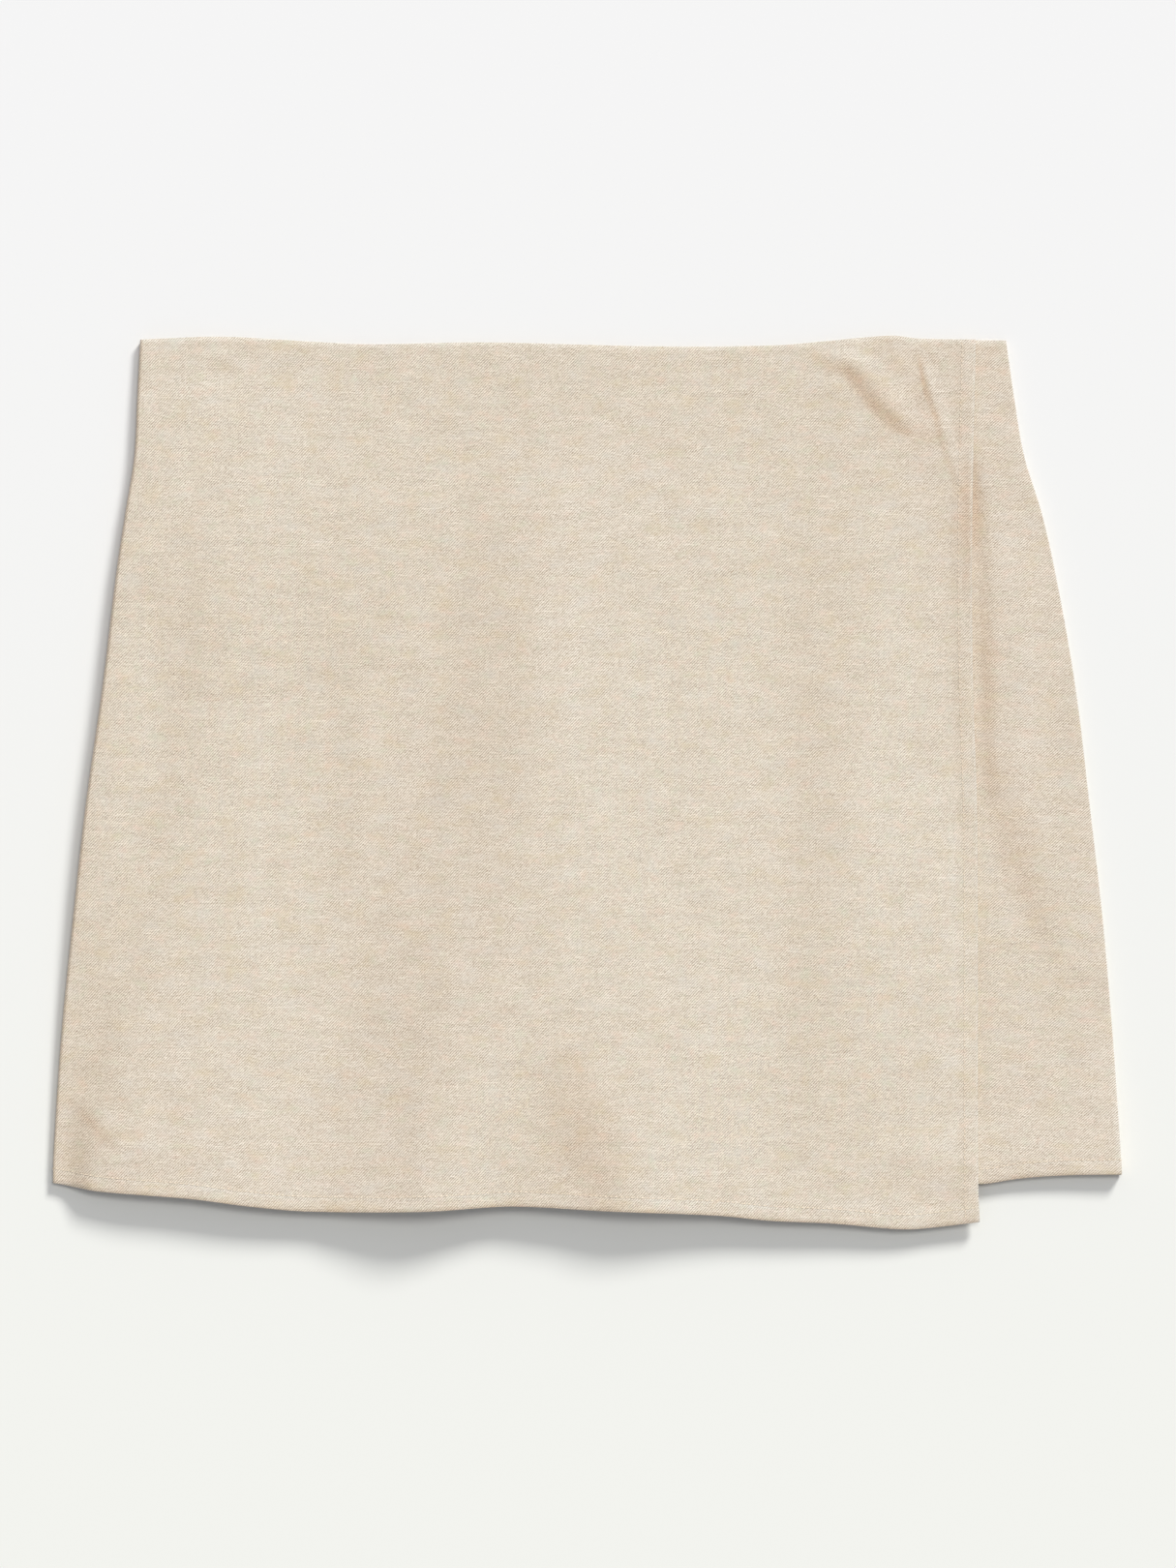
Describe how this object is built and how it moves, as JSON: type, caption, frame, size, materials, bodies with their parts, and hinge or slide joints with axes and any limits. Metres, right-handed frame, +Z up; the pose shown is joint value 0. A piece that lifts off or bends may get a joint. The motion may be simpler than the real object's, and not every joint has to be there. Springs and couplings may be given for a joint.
{
  "type": "wrap skort",
  "caption": "Short linen twill skort laid flat on its back: wide shorts under a front wrap panel with a turned free edge and hem.",
  "frame": {"origin": "on the table under the middle of the laid-out garment, at the bottom centre of its bounding box", "axes": "+X towards the wearer's left side, +Y towards the waist, +Z up from the table; the hem is at -Y"},
  "size_m": [0.5078, 0.4242, 0.0195],
  "materials": {
    "linen_twill": "matt",
    "thread": "satin"
  },
  "bodies": {
    "root": {"wrap_panel": "linen_twill", "front_leg_left": "linen_twill", "front_leg_right": "linen_twill", "back_leg_left": "linen_twill", "back_leg_right": "linen_twill"}
  },
  "joints": []
}
